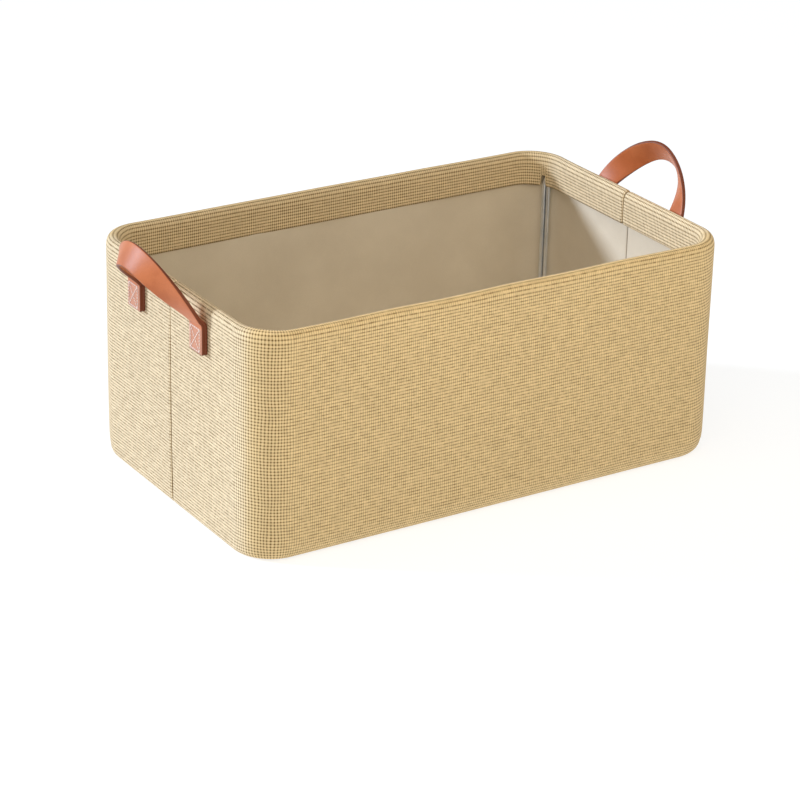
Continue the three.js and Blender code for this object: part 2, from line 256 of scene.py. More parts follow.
def puff(s, z, side):
    """How far the cloth stands outside the board line at a place on the wall."""
    x, y, nx, ny, corner = outline(s, side)
    along = max(0.0, 1 - (abs(x) / HALF_L) ** 4)
    up = smooth(z / 0.018)
    long_wall = LONG_PUFF * abs(ny) * (0.65 + 0.35 * along) * up
    across = max(0.0, 1 - (y / HALF_D) ** 2)
    end_wall = END_PUFF * abs(nx) * across * math.sin(math.pi * min(z, HEIGHT) / HEIGHT)
    ripple = RIPPLE * wave(s + (10 if side > 0 else 0), z, 3, 0.11) * up
    return long_wall + end_wall + ripple


# ---------------------------------------------------------------------------
# Colours, linear
# ---------------------------------------------------------------------------
YARN = (0.830, 0.630, 0.336, 1)
YARN_END_PAINTED_LIGHT = (0.865, 0.712, 0.480, 1)      # the end walls' cloth is painted paler: painted light, standing for strong light washing out the lit end
HOLLOW_PAINTED_SHADE = (0.165, 0.085, 0.018, 1)        # painted shade in the grooves and holes of the weave
YARN_SHEEN = (1.0, 0.84, 0.62, 1)
LINER_LIGHT, LINER_DARK = (0.722, 0.638, 0.508, 1), (0.660, 0.578, 0.456, 1)
LINER_SEAM = (0.22, 0.16, 0.10, 1)
STEEL_LIGHT, STEEL_DARK = (0.88, 0.92, 0.99, 1), (0.74, 0.80, 0.90, 1)
STRAP_LOW, STRAP_HIGH = (0.46, 0.122, 0.036, 1), (0.57, 0.172, 0.060, 1)
STRAP_FOOT_HIGHLIGHT = (0.55, 0.27, 0.18, 1)       # painted highlight on the outer face of the feet
STRAP_EDGE = (0.17, 0.036, 0.010, 1)
THREAD_LIGHT, THREAD_DARK = (0.92, 0.76, 0.68, 1), (0.76, 0.54, 0.45, 1)
BOARD_LIGHT, BOARD_DARK = (0.4910, 0.3712, 0.2159, 1), (0.2159, 0.1384, 0.0685, 1)


# ---------------------------------------------------------------------------
# Materials
# ---------------------------------------------------------------------------
class Tree:
    """Short names for building a shader from maths."""

    def __init__(self, name):
        self.material = bpy.data.materials.new(name)
        self.material.use_nodes = True
        self.nt = self.material.node_tree
        self.nt.nodes.clear()
        out = self.nt.nodes.new("ShaderNodeOutputMaterial")
        self.bsdf = self.nt.nodes.new("ShaderNodeBsdfPrincipled")
        self.nt.links.new(self.bsdf.outputs[0], out.inputs[0])

    def node(self, kind, **settings):
        n = self.nt.nodes.new("ShaderNode" + kind)
        for key, value in settings.items():
            setattr(n, key, value)
        return n

    def put(self, socket, value):
        if isinstance(value, bpy.types.NodeSocket):
            self.nt.links.new(value, socket)
        else:
            socket.default_value = value

    def math(self, op, *values):
        n = self.node("Math", operation=op)
        for socket, value in zip(n.inputs, values):
            self.put(socket, value)
        return n.outputs[0]

    def add(self, a, b):
        return self.math("ADD", a, b)

    def sub(self, a, b):
        return self.math("SUBTRACT", a, b)

    def mul(self, a, b):
        return self.math("MULTIPLY", a, b)

    def mul_add(self, a, b, c):
        return self.math("MULTIPLY_ADD", a, b, c)

    def ramp(self, value, low, high, to_low=0.0, to_high=1.0):
        n = self.node("MapRange", interpolation_type="SMOOTHSTEP")
        names = ("Value", "From Min", "From Max", "To Min", "To Max")
        for key, x in zip(names, (value, low, high, to_low, to_high)):
            self.put(n.inputs[key], x)
        return n.outputs[0]

    def noise(self, vector, scale, detail=2.0, rough=0.5):
        n = self.node("TexNoise")
        self.put(n.inputs["Vector"], vector)
        n.inputs["Scale"].default_value = scale
        n.inputs["Detail"].default_value = detail
        n.inputs["Roughness"].default_value = rough
        return n.outputs["Fac"]

    def place(self):
        """Position on the object, in metres."""
        return self.node("TexCoord").outputs["Object"]

    def split(self, vector):
        n = self.node("SeparateXYZ")
        self.put(n.inputs[0], vector)
        return n.outputs

    def combine(self, x, y, z=0.0):
        n = self.node("CombineXYZ")
        for socket, value in zip(n.inputs, (x, y, z)):
            self.put(socket, value)
        return n.outputs[0]

    def mix(self, fac, a, b):
        n = self.node("Mix", data_type="RGBA")
        self.put(n.inputs["Factor"], fac)
        self.put(n.inputs["A"], a)
        self.put(n.inputs["B"], b)
        return n.outputs["Result"]

    def scale_colour(self, colour, factor):
        n = self.node("VectorMath", operation="SCALE")
        self.put(n.inputs[0], colour)
        self.put(n.inputs["Scale"], factor)
        return n.outputs[0]

    def bump(self, height, strength, distance):
        n = self.node("Bump")
        n.inputs["Strength"].default_value = strength
        n.inputs["Distance"].default_value = distance
        self.put(n.inputs["Height"], height)
        self.nt.links.new(n.outputs[0], self.bsdf.inputs["Normal"])

    def attribute(self, name):
        return self.node("Attribute", attribute_name=name).outputs["Fac"]

    def set(self, **values):
        for key, value in values.items():
            self.put(self.bsdf.inputs[key.replace("_", " ")], value)


def woven_material(name, from_uv=True):
    """Ribbed open weave. One unit of the weave coordinates is one rib (v) or one yarn (u)."""
    t = Tree(name)
    if from_uv:
        u, v, _ = t.split(t.node("UVMap", uv_map="weave").outputs[0])
        opened, seam, end = t.attribute("open"), t.attribute("seam"), t.attribute("end")
        # painted light: the end walls and the band take a paler yarn colour that stands for strong light
        # washing the lit end out
        yarn = t.mix(end, YARN, YARN_END_PAINTED_LIGHT)
    else:
        x, y, _ = t.split(t.place())
        u, v = t.mul(x, 1 / WARP_FLAT), t.mul(y, 1 / COURSE)
        opened, seam, end, yarn = 0.2, 0.0, 0.0, YARN

    def cloth_noise(along, up, per_yarn, per_rib, layer=0.0, rough=0.5):
        return t.noise(t.combine(t.mul(along, per_yarn), t.mul(up, per_rib), layer), 1.0, 2.0, rough)

    # the yarns run a little crooked, and each has thick and thin places
    v = t.add(v, t.mul(t.sub(cloth_noise(u, v, 0.045, 0.06), 0.5), 0.10))
    u = t.add(u, t.mul(t.sub(cloth_noise(u, v, 0.17, 0.07, 5.0), 0.5), 1.3))
    slub_rib = cloth_noise(u, t.math("FLOOR", v), 0.22, 3.7)
    slub_gap = cloth_noise(u, t.math("ROUND", v), 0.62, 5.3, 4.0)
    fibre = cloth_noise(u, v, 1.5, 5.0, rough=0.7)
    patch = cloth_noise(u, v, 0.016, 0.02, 3.0)
    # grooves lie between ribs, gaps between yarns, holes where the two cross; the shade in them is painted
    # into the colour
    rib = t.math("ABSOLUTE", t.math("SINE", t.mul(v, math.pi)))
    yarns = t.math("ABSOLUTE", t.math("SINE", t.mul(u, math.pi)))
    groove = t.ramp(rib, 0.06, 0.86, 1.0, 0.0)
    gap = t.ramp(yarns, 0.0, 0.85, 1.0, 0.0)
    hole = t.mul(groove, gap)
    # on the flats the ribs close up over the grooves, round the corners the mesh opens and more painted
    # shade shows in its holes
    groove_dark = t.mul(groove, t.ramp(slub_gap, 0.30, 0.70, 0.30, 0.76))
    gap_dark = t.mul(gap, t.ramp(slub_rib, 0.25, 0.75, 0.54, 0.36))
    either = t.sub(t.add(groove_dark, gap_dark), t.mul(groove_dark, gap_dark))
    flat_dark = t.mul_add(hole, 0.15, t.mul(either, t.mul_add(end, 0.22, 1.0)))
    open_dark = t.mul_add(hole, 1.25, t.mul(t.add(groove, gap), 0.39))
    dark = t.add(t.mul(flat_dark, t.sub(1.0, opened)), t.mul(open_dark, opened))
    dark = t.math("MINIMUM", t.math("MAXIMUM", dark, seam), 1.0)
    shade = t.add(t.mul_add(slub_rib, 0.30, 0.76), t.mul(fibre, 0.14))
    shade = t.add(shade, t.mul(patch, 0.08))
    t.set(Base_Color=t.scale_colour(t.mix(dark, yarn, HOLLOW_PAINTED_SHADE), shade), Roughness=0.88,
          Specular_IOR_Level=0.15, Sheen_Weight=0.24, Sheen_Roughness=0.45, Sheen_Tint=YARN_SHEEN)
    t.bump(t.sub(t.mul(fibre, 0.12), dark), 0.6, 0.0007)
    return t.material


def liner_material():
    """Smooth coated cloth with a very fine tabby under the coating."""
    t = Tree("liner_cloth")
    place = t.place()
    mottled = t.noise(place, 14.0, 3.0, 0.6)
    speck = t.noise(place, 900.0, 2.0, 0.6)
    grain = t.noise(place, 2600.0, 1.0)
    colour = t.mix(t.ramp(mottled, 0.3, 0.7), LINER_DARK, LINER_LIGHT)
    colour = t.mix(t.attribute("seam"), colour, LINER_SEAM)
    t.set(Base_Color=t.scale_colour(colour, t.mul_add(speck, 0.10, 0.95)),
          Roughness=t.mul_add(speck, 0.12, 0.50), Specular_IOR_Level=0.35, Sheen_Weight=0.08)
    t.bump(t.add(t.mul(speck, 0.6), grain), 0.25, 0.0003)
    return t.material


def steel_material():
    """Bright drawn rod, with fine lines along its length and faint clouds."""
    t = Tree("bright_steel")
    place = t.place()
    x, y, z = t.split(place)
    drawn = t.noise(t.combine(t.mul(x, 900.0), t.mul(y, 900.0), t.mul(z, 9.0)), 1.0, 3.0, 0.6)
    clouds = t.noise(place, 60.0, 3.0, 0.6)
    t.set(Base_Color=t.mix(t.ramp(clouds, 0.35, 0.75), STEEL_DARK, STEEL_LIGHT),
          Metallic=1.0, Roughness=t.mul_add(drawn, 0.16, 0.16))
    t.bump(drawn, 0.08, 0.0002)
    return t.material


def strap_material():
    """Leather-look strap: smooth face with a fine grain, and darker edges."""
    t = Tree("tan_strap")
    place = t.place()
    grain = t.node("TexVoronoi", feature="SMOOTH_F1")
    t.put(grain.inputs["Vector"], place)
    grain.inputs["Scale"].default_value = 1400.0
    broad = t.noise(place, 38.0, 3.0, 0.55)
    fine = t.noise(place, 700.0, 2.0, 0.6)
    colour = t.mix(t.ramp(broad, 0.3, 0.72), STRAP_LOW, STRAP_HIGH)
    # painted highlight: the outer face of each foot is painted paler
    colour = t.mix(t.attribute("pale"), colour, STRAP_FOOT_HIGHLIGHT)
    colour = t.mix(t.attribute("edge"), colour, STRAP_EDGE)
    t.set(Base_Color=t.scale_colour(colour, t.mul_add(fine, 0.16, 0.92)),
          Roughness=t.mul_add(fine, 0.14, 0.38), Specular_IOR_Level=0.34, Sheen_Weight=0.05)
    t.bump(t.add(t.mul(grain.outputs["Distance"], 0.6), t.mul(fine, 0.4)), 0.35, 0.00035)
    return t.material


def thread_material():
    t = Tree("pale_thread")
    twist = t.node("TexWave", wave_type="BANDS", bands_direction="DIAGONAL")
    t.put(twist.inputs["Vector"], t.place())
    twist.inputs["Scale"].default_value = 900.0
    twist.inputs["Distortion"].default_value = 1.0
    t.set(Base_Color=t.mix(t.mul(twist.outputs["Fac"], 0.6), THREAD_LIGHT, THREAD_DARK),
          Roughness=0.7, Sheen_Weight=0.2)
    t.bump(twist.outputs["Fac"], 0.5, 0.0002)
    return t.material


def board_material():
    t = Tree("fibreboard")
    place = t.place()
    fibres = t.noise(place, 420.0, 4.0, 0.7)
    clouds = t.noise(place, 30.0, 2.0)
    colour = t.mix(fibres, BOARD_DARK, BOARD_LIGHT)
    t.set(Base_Color=t.scale_colour(colour, t.mul_add(clouds, 0.3, 0.85)), Roughness=0.85)
    t.bump(fibres, 0.4, 0.0004)
    return t.material


WEAVE = woven_material("woven_jute")
BASE_WEAVE = woven_material("woven_jute_base", from_uv=False)
LINER = liner_material()
STEEL = steel_material()
STRAP = strap_material()
THREAD = thread_material()
BOARD = board_material()


def dress(obj, material, body, slot_name, *nodes):
    """Gives a finished piece its material and body, and hides the CAD nodes it stands for; slot_name is not
    used.
    """
    obj.data.materials.append(material)
    if body:
        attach(obj, body)
    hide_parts(*nodes)
    return obj


# ---------------------------------------------------------------------------
# Woven cover: one cloth from the underside's edge up the wall, over the rim and down
# inside as the band.
# ---------------------------------------------------------------------------
FOOT_STEPS, WALL_STEPS, RIM_STEPS, BAND_STEPS = 8, 31, 24, 8
POST_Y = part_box("left_frame_outer_rod")[1].y - ROD_R
NOTCH_AT = STRAIGHT_D + CORNER_R * math.asin((POST_Y - STRAIGHT_D) / (CORNER_R - ROD_IN))
NOTCH_HALF, NOTCH_SLOPE = 0.0020, 0.0022      # half width of the slit and width of its sides
NOTCH_ROWS = [0.0005, 0.0015, 0.0022, 0.0029, 0.0036, 0.0045, 0.0060]


def cover_section():
    """Outline of the cloth in [inset, z], from the underside's edge to the band's hem."""
    mid = RIM_T / 2
    top = HEIGHT - RIM_RISE
    path = []
    for i in range(FOOT_STEPS + 1):
        a = math.radians(270 - 90 * i / FOOT_STEPS)
        path.append((FOOT_R + FOOT_R * math.cos(a), FOOT_R + FOOT_R * math.sin(a)))
    path += [(0.0, FOOT_R + (top - FOOT_R) * i / WALL_STEPS) for i in range(1, WALL_STEPS)]
    for i in range(RIM_STEPS + 1):
        a = math.radians(180 - 180 * i / RIM_STEPS)
        across = math.copysign(abs(math.cos(a)) ** RIM_FULLNESS, math.cos(a))
        rise = math.sin(a) ** RIM_FULLNESS if 0 < i < RIM_STEPS else 0.0
        path.append((mid + mid * across, top + RIM_RISE * rise))
    path += [(RIM_T, top + (BAND_LOW - top) * i / BAND_STEPS) for i in range(1, BAND_STEPS + 1)]
    return np.array(path)


def section_normals(path):
    tangent = np.gradient(path, axis=0)
    tangent /= np.linalg.norm(tangent, axis=1)[:, None]
    return np.stack([tangent[:, 1], -tangent[:, 0]], 1)


def notch(s):
    """How far the band's hem is raised where a rod comes out from under it."""
    return NOTCH * (1 - smooth((abs(from_seam(s) - NOTCH_AT) - NOTCH_HALF) / NOTCH_SLOPE))


def cover_half(name, side):
    near_rod = [NOTCH_AT + d * sign for d in NOTCH_ROWS for sign in (-1, 1)]
    positions = half_positions(extra=near_rod + [HALF_RUN - d for d in near_rod])
    path = cover_section()
    normal = section_normals(path)
    length = np.concatenate([[0], np.cumsum(np.linalg.norm(np.diff(path, axis=0), axis=1))])
    top_z = HEIGHT - RIM_RISE
    over_rim = [smooth((d - 0.2 * RIM_T) / (0.6 * RIM_T)) for d, _ in path]
    inside = [smooth((d - 0.5 * RIM_T) / (0.3 * RIM_T)) for d, _ in path]
    down_band = [max(0.0, (k - (len(path) - 1 - BAND_STEPS)) / BAND_STEPS) for k in range(len(path))]
    rows, opened, ends, seams, us = [], [], [], [], []
    weave_u = last_s = 0.0
    for s in positions:
        x, y, nx, ny, corner = outline(s, side)
        weave_u += (s - last_s) / (WARP_FLAT + (WARP_CORNER - WARP_FLAT) * corner)
        last_s = s
        us.append(weave_u)
        tuck = COVER_TUCK * bell(from_seam(s), COVER_TUCK_W)
        front, back = [], []
        for k, (d, z) in enumerate(path):
            out = puff(s, min(z, HEIGHT), side) * (1 - over_rim[k] * (1 - 0.9 * ny ** 4))
            inset = d - out + normal[k][0] * tuck
            height = z + notch(s) * down_band[k] + normal[k][1] * tuck
            if z > top_z:
                height += RIM_BOW * (z - top_z) / RIM_RISE + RIM_RIPPLE * wave(s, 0.0, 11 + side, 0.09)
            front.append((x + nx * inset, y + ny * inset, height))
            inset += normal[k][0] * CLOTH
            back.append((x + nx * inset, y + ny * inset, height + normal[k][1] * CLOTH))
        rows.append(front + back[::-1])
        # how open the mesh is drawn, and how much of the end walls' paler yarn, which is painted light, it
        # gets
        drawn = smooth((corner - 0.22) * 1.7)
        across = [max(drawn, BAND_OPEN * share) for share in inside]
        opened.append(across + across[::-1])
        # painted light: share of the paler end-wall colour
        end = smooth((abs(nx) - 0.75) / 0.25)
        across = [max(end, BAND_PAINTED_LIGHT * share) for share in inside]
        ends.append(across + across[::-1])
        seams.append([SEAM_LINE * bell(from_seam(s), SEAM_LINE_W)] * (2 * len(path)))
    v = np.concatenate([length, length[::-1], [0]]) / COURSE + (0.45 if side > 0 else 0.0)
    obj = grid_object(name, rows, u=np.array(us + [us[-1]]), v=v, caps=True)
    add_attribute(obj, "open", opened)
    add_attribute(obj, "end", ends)
    add_attribute(obj, "seam", seams)
    return outward(obj)


for label, side in HALVES:
    half = cover_half(f"woven_cover_{label}", side)
    dress(half, WEAVE, "bin", "woven_cover", f"cover_{label}_half", f"band_{label}_half")


# ---------------------------------------------------------------------------
# Wire hoop inside the rim, kept in the middle of the soft rim all the way round
# ---------------------------------------------------------------------------
def rim_wire(name, node, side):
    lo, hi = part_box(node)
    r = (hi.z - lo.z) / 2
    z = (hi.z + lo.z) / 2
    rows = []
    for s in half_positions()[1:-1]:
        x, y, nx, ny, _ = outline(s, side)
        middle = RIM_T / 2 - puff(s, HEIGHT - RIM_RISE, side) * 0.5 * (1 + 0.9 * ny ** 4)
        ring = []
        for b in turns(16):
            inset = middle + r * math.cos(b)
            ring.append((x + nx * inset, y + ny * inset, z + r * math.sin(b)))
        rows.append(ring)
    obj = outward(grid_object(name, rows, caps=True))
    return dress(obj, STEEL, "bin", "steel_rod", node)


for label, side in HALVES:
    rim_wire(f"hoop_{label}", f"rim_wire_{label}", side)


# ---------------------------------------------------------------------------
# Level sheets: the woven underside and the liner's floor
# ---------------------------------------------------------------------------
RING_STEPS = [0, 0.0006, 0.0016, 0.003, 0.005, 0.009, 0.016, 0.028, 0.045, 0.065, 0.085, 0.105]
RING_MIDDLE = HALF_D - 0.0005            # inset of the smallest ring, closed by one face
QUARTERS = ((1, 1), (-1, 1), (-1, -1), (1, -1))


def ring_points(inset, count_corner=12, count_long=60, count_short=36):
    """Points round the whole outline at an inset, counter-clockwise."""
    r = max(CORNER_R - inset, 0.0004)
    lx, ly = HALF_L - inset - r, HALF_D - inset - r
    points = []
    for quarter, (sx, sy) in enumerate(QUARTERS):
        for i in range(count_corner):
            a = math.radians(90 * quarter + 90 * i / count_corner)
            points.append((sx * lx + r * math.cos(a), sy * ly + r * math.sin(a)))
        count = count_long if quarter % 2 == 0 else count_short
        a = math.radians(90 * (quarter + 1))
        next_x, next_y = QUARTERS[(quarter + 1) % 4]
        start = (sx * lx + r * math.cos(a), sy * ly + r * math.sin(a))
        end = (next_x * lx + r * math.cos(a), next_y * ly + r * math.sin(a))
        for i in range(count):
            f = i / count
            points.append((start[0] + (end[0] - start[0]) * f, start[1] + (end[1] - start[1]) * f))
    return points


def level_sheet(name, inset, low, high, lift):
    """A closed thin sheet that follows the outline; lift(x, y, edge) raises its top."""
    rings = [[(x, y, low) for x, y in ring_points(d)] for d in (RING_MIDDLE, inset + 0.02, inset)]
    for d in [inset + step for step in RING_STEPS] + [RING_MIDDLE]:
        rings.append([(x, y, high + lift(x, y, d - inset)) for x, y in ring_points(d)])
    verts = [p for ring in rings for p in ring]
    return outward(new_object(name, verts, tube_faces(len(rings), len(rings[0]))))


def no_lift(x, y, d):
    return 0.0


def floor_lift(x, y, d):
    """The floor cloth lies a little slack over its board, with a sewn edge."""
    slack = FLOOR_SLACK * (wave(x, y, 21, 0.09) + 0.6) * smooth(d / 0.02)
    return slack - 0.0002 * bell(d, 0.002)


base_lo, base_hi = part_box("cover_base")
base = level_sheet("woven_base", FOOT_R + GAP, base_lo.z, base_hi.z, no_lift)
dress(base, BASE_WEAVE, "bin", "woven_cover", "cover_base")

floor_lo, floor_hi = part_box("liner_floor")
liner_floor = level_sheet("liner_floor_cloth", LINER_IN + 0.0002, floor_lo.z, floor_hi.z, floor_lift)
dress(liner_floor, LINER, "bin", "coated_liner", "liner_floor")


# ---------------------------------------------------------------------------
# Liner walls
# ---------------------------------------------------------------------------
def liner_half(name, side):
    low = floor_hi.z + GAP
    levels = np.concatenate([[0, 0.001, 0.0025, 0.005], np.linspace(0.012, LINER_TOP - low, 22)])
    rows, seams = [], []
    for s in half_positions(step_flat=0.007, corner_steps=16):
        x, y, nx, ny, _ = outline(s, side, SEAM_Y)
        tuck = LINER_TUCK * bell(from_seam(s), LINER_TUCK_W)
        room = LINER_SLACK * abs(ny) ** 6 + GAP
        front, back = [], []
        for z in low + levels:
            free = smooth((z - low) / 0.03) * smooth((LINER_TOP - z) / 0.02)
            slack = 0.5 + 0.5 * wave(s, z * 0.6, 31 + side, 0.13)
            d = LINER_IN + LINER_T - tuck + room * free * slack
            front.append((x + nx * d, y + ny * d, z))
            back.append((x + nx * (d - LINER_T), y + ny * (d - LINER_T), z))
        rows.append(front + back[::-1])
        seams.append([bell(from_seam(s), SEAM_LINE_W)] * (2 * len(levels)))
    obj = grid_object(name, rows, caps=True)
    add_attribute(obj, "seam", seams)
    return outward(obj)


for label, side in HALVES:
    half = liner_half(f"liner_wall_{label}", side)
    dress(half, LINER, "bin", "coated_liner", f"liner_{label}_half")


# ---------------------------------------------------------------------------
# Steel end frames
# ---------------------------------------------------------------------------
def wall_x(y):
    """Distance from the middle to the line at the rods' inset, which turns in with the corner."""
    past = max(0.0, abs(y) - STRAIGHT_D)
    return HALF_L - CORNER_R + math.sqrt((CORNER_R - ROD_IN) ** 2 - past ** 2)


def rod_centres(post_y, low, high):
    """Centre line of a rod: posts in the corners, and a top bar bent to follow the wall."""
    y = post_y - ROD_BEND
    corners = [(y, high - ROD_BEND), (-y, high - ROD_BEND), (-y, low + ROD_BEND), (y, low + ROD_BEND)]
    path = []
    for quarter, (cy, cz) in enumerate(corners):
        for i in range(13):
            a = math.radians(90 * quarter + 7.5 * i)
            path.append((cy + ROD_BEND * math.cos(a), cz + ROD_BEND * math.sin(a)))
        ny, nz = corners[(quarter + 1) % 4]
        start_y, start_z = path[-1]
        path += [(start_y + (ny - cy) * i / 20, start_z + (nz - cz) * i / 20) for i in range(1, 20)]
    post_x = wall_x(post_y)
    centres = []
    for py, pz in path:
        bent = smooth((pz - ROD_TURN_LOW) / ROD_TURN_RISE)
        centres.append(Vector((post_x + (wall_x(py) - post_x) * bent, py, pz)))
    return centres


def rod(end, sx, kind):
    node = f"{end}_frame_{kind}_rod"
    lo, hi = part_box(node)
    path = rod_centres(hi.y - ROD_R, lo.z + ROD_R, hi.z - ROD_R)
    rows = []
    for i, p in enumerate(path):
        along = (path[(i + 1) % len(path)] - path[i - 1]).normalized()
        u = (Vector((1, 0, 0)) - along * along.x).normalized()
        v = along.cross(u)
        ring = [p + u * (ROD_R * math.cos(b)) + v * (ROD_R * math.sin(b)) for b in turns(24)]
        rows.append([(sx * q.x, q.y, q.z) for q in ring])
    obj = outward(grid_object(f"{end}_{kind}_rod", rows, closed_rows=True))
    return dress(obj, STEEL, f"{end}_frame", "steel_rod", node)


for end, sx in ENDS:
    rod(end, sx, "outer")
    rod(end, sx, "inner")


# ---------------------------------------------------------------------------
# Floor sleeves: a strip of liner cloth over each bottom bar, sewn down on the inner side
# ---------------------------------------------------------------------------
def sleeve(end, sx, place):
    node = f"{end}_floor_sleeve_{place}"
    lo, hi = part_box(node)
    cx, cz = (lo.x + hi.x) / 2, (lo.z + hi.z) / 2
    section_out, section_in = [], []
    for i in range(19):
        a = math.radians(250 - 250 * i / 18)
        section_out.append((SLEEVE_OUT * math.cos(a), SLEEVE_OUT * math.sin(a)))
        section_in.append((SLEEVE_IN * math.cos(a), SLEEVE_IN * math.sin(a)))
    drop = floor_hi.z + 0.0009 - cz
    for f in (0.25, 0.5, 0.75, 1.0):
        out = SLEEVE_OUT + (SLEEVE_REACH - SLEEVE_OUT) * f
        down = drop * smooth(f * 1.6)
        section_out.append((out, down + 0.0002))
        section_in.append((out - 0.0004, down - 0.0002))
    ring = section_out + section_in[::-1]
    length = hi.y - lo.y
    rows = []
    for i in range(17):
        f = i / 16
        pucker = 1 + 0.015 * math.sin(f * 19)
        rows.append([(cx - sx * dx * (pucker if dx > SLEEVE_OUT else 1), lo.y + length * f, cz + dz)
                     for dx, dz in ring])
    obj = outward(grid_object(f"{end}_sleeve_{place}", rows, caps=True))
    dress(obj, LINER, "bin", "coated_liner", node)


for end, sx in ENDS:
    for place in ("front", "back"):
        sleeve(end, sx, place)


# ---------------------------------------------------------------------------
# Strap handles
# ---------------------------------------------------------------------------
FACE_CROWN = 0.00018         # how much the faces of the strap bulge
FOOT_HOLLOW = 0.0016         # depth of the hollow in the end of a foot
HINGE_OUT = FOOT_T + 2 * GAP
# share of the painted highlight on the outer face of a foot
FOOT_HIGHLIGHT_SHARE = 0.75


def strap_section(width, thick, fold):
    """Rounded flat section in [across, through], with how far each point is on the edge.
    fold draws in the middle of both edges, where the two layers of a foot meet."""
    w, t, r = width / 2, thick / 2, STRAP_EDGE_R
    points, edge = [], []
    for qx, qy, start in ((1, -1, 270), (1, 1, 0), (-1, 1, 90), (-1, -1, 180)):
        for i in range(5):
            a = math.radians(start + 90 * i / 4)
            points.append((qx * (w - r) + r * math.cos(a), qy * (t - r) + r * math.sin(a)))
            edge.append(smooth((abs(math.cos(a)) - 0.30) / 0.5))
        if qx == qy:
            for f in (0.1, 0.25, 0.4, 0.6, 0.75, 0.9):
                x = qx * (w - r) * (1 - 2 * f)
                points.append((x, qy * (t + FACE_CROWN * (1 - (x / w) ** 2))))
                edge.append(0.0)
        else:
            for f in (-0.4, 0.0, 0.4):
                points.append((qx * (w - fold * (1 - abs(f) / 0.5)), -qy * f * (t - r)))
                edge.append(1.0)
    return points, edge


def arch(t):
    """Centre of the flat loop in [y, height above the feet], t from 0 to 1."""
    a = math.pi * t
    rise = math.sin(a) ** LOOP_POINT if 0 < t < 1 else 0.0
    return Vector((STRAP_Y * math.cos(a), LOOP_RISE * rise))


def strap_path(steps=120):
    """Stations from the bottom of one foot, round the loop, to the bottom of the other:
    place, direction across the strap, turn about its own length and share of its thickness."""
    foot = FOOT_TOP - FOOT_LOW
    depths = []
    for i in range(6):
        grown = math.sin(math.pi / 2 * i / 6)
        depths.append((foot - FOOT_HOLLOW * (1 - grown), 0.45 + 0.55 * grown))
    depths += [(foot * (1 - i / 14), 1.0) for i in range(1, 14)]
    stations = [(Vector((STRAP_Y, -z)), Vector((1.0, 0.0)), 0.0, thin) for z, thin in depths]
    for i in range(steps + 1):
        t = i / steps
        tangent = (arch(min(t + 1e-3, 1)) - arch(max(t - 1e-3, 0))).normalized()
        from_foot = 1 - abs(2 * t - 1)
        twist = math.radians(LOOP_TURN) * smooth(from_foot / 0.85)
        stations.append((arch(t), Vector((tangent.y, -tangent.x)), twist, 1.0))
    stations += [(Vector((-STRAP_Y, -z)), Vector((-1.0, 0.0)), 0.0, thin) for z, thin in depths[::-1]]
    return stations


def make_strap(end, sx, lean):
    hinge = HALF_L + HINGE_OUT
    rings, edges, foot_highlights = [], [], []
    for at, across, twist, thin in strap_path():
        up = at.y
        single = smooth((up + 0.001) / 0.007)
        width = FOOT_W + (STRAP_W - FOOT_W) * single
        thick = FOOT_T + (STRAP_T - FOOT_T) * single
        section, edge = strap_section(width, thick, FOOT_FOLD * (1 - single) * thin)
        edges += edge
        a = math.radians(lean) * smooth((up + 0.0005) / 0.0035)
        proud = thick + GAP - width / 2 * math.sin(twist) - thick / 2 * math.cos(twist)
        on_foot = smooth((0.0005 - up) / 0.003)
        ring = []
        for px, py in section:
            qx, qy = px * (0.9 + 0.1 * thin), py * thin
            in_plane = qx * math.cos(twist) + qy * math.sin(twist)
            inwards = proud + qx * math.sin(twist) - qy * math.cos(twist)
            y = at.x + across.x * in_plane
            h = up + across.y * in_plane
            if up <= 0:
                out, rise = -inwards, h
            else:
                out = h * math.sin(a) - inwards * math.cos(a)
                rise = h * math.cos(a) + inwards * math.sin(a)
            ring.append((sx * (hinge + out), y, FOOT_TOP + rise))
            foot_highlights.append(FOOT_HIGHLIGHT_SHARE * on_foot if py > 0 else 0.0)
        rings.append(ring)
    verts = [p for ring in rings for p in ring]
    obj = outward(new_object(f"{end}_strap", verts, tube_faces(len(rings), len(rings[0]))))
    add_attribute(obj, "edge", edges)
    add_attribute(obj, "pale", foot_highlights)
    feet = [f"{end}_handle_foot_front", f"{end}_handle_foot_back"]
    dress(obj, STRAP, None, "strap", f"{end}_handle_strap", *feet)
    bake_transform(obj)


STITCH_SHAPE = ((0, 0.35), (0.12, 0.85), (0.35, 1.0), (0.65, 1.0), (0.88, 0.85), (1, 0.35))


def thread_run(points, verts, faces, normal):
    """Adds a row of sunk stitches along a polyline as small rounded bars."""
    for a, b in zip(points, points[1:]):
        a, b = Vector(a), Vector(b)
        run = (b - a).length
        count = max(1, int(round(run / (STITCH + STITCH_GAP))))
        step = run / count
        direction = (b - a).normalized()
        side = direction.cross(normal).normalized()
        for i in range(count):
            start = a + direction * (i * step + STITCH_GAP / 2)
            faces += tube_faces(len(STITCH_SHAPE), 8, first=len(verts))
            for f, swell in STITCH_SHAPE:
                lift = normal * (0.0002 * math.sin(math.pi * f))
                centre = start + direction * ((step - STITCH_GAP) * f) + lift
                r = THREAD_R * swell
                verts += [tuple(centre + side * (r * math.cos(b)) + normal * (r * math.sin(b)))
                          for b in turns(8)]


